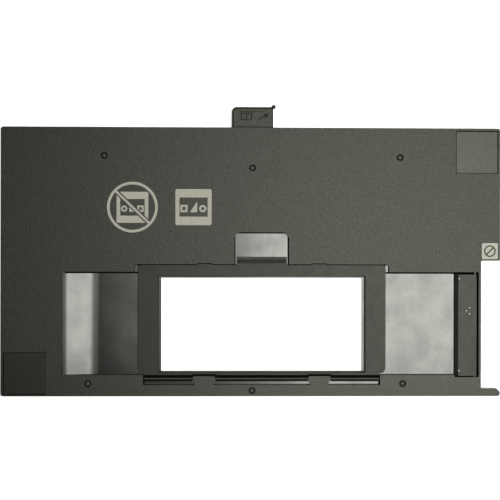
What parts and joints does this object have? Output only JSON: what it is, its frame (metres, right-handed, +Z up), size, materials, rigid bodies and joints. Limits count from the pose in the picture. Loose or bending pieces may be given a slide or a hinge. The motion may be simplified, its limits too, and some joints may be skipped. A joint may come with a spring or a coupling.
{
  "type": "negative carrier",
  "caption": "Thin black moulded film holder for a flatbed scanner: hinged cover frame over a wide film window, glossy film channel with an end clamp, rear alignment tab.",
  "frame": {"origin": "bottom centre of the whole holder, tab included, on the surface that the feet stand on", "axes": "+X along the film to the right edge with the calibration notch, +Y to the rear edge with the alignment tab, +Z up through the plate"},
  "size_m": [0.3, 0.1752, 0.006],
  "materials": {
    "plate_plastic": "fine moulded grain, warm black; the film channel is polished",
    "cover_plastic": "satin black, finer grain than the plate",
    "clamp_plastic": "satin dark grey",
    "pad_plastic": "fine grain, black",
    "pin_steel": "drawn wire, darkened",
    "foot_rubber": "matt black",
    "label_white": "off-white printed film, slightly satin"
  },
  "bodies": {
    "base": {"base_plate": "plate_plastic", "end_clamp_pin": "pin_steel", "corner_pad_rear_right": "pad_plastic", "corner_pad_front_left": "pad_plastic", "calibration_label": "label_white", "foot_rear_left": "foot_rubber", "foot_rear_middle": "foot_rubber", "foot_rear_right": "foot_rubber", "foot_front_left": "foot_rubber", "foot_front_middle": "foot_rubber", "foot_front_right": "foot_rubber"},
    "cover": {"cover_frame": "cover_plastic", "hinge_rod": "pin_steel"},
    "end_clamp": {"end_clamp": "clamp_plastic"}
  },
  "joints": [
    {"name": "cover_hinge", "type": "hinge", "parent": "base", "child": "cover", "pos_m": [0.0063, -0.07717, 0.004], "axis": [1, 0, 0], "range_deg": [0, 105]},
    {"name": "end_clamp_hinge", "type": "hinge", "parent": "base", "child": "end_clamp", "pos_m": [0.135, -0.04487, 0.0045], "axis": [0, 1, 0], "range_deg": [0, 105]}
  ]
}
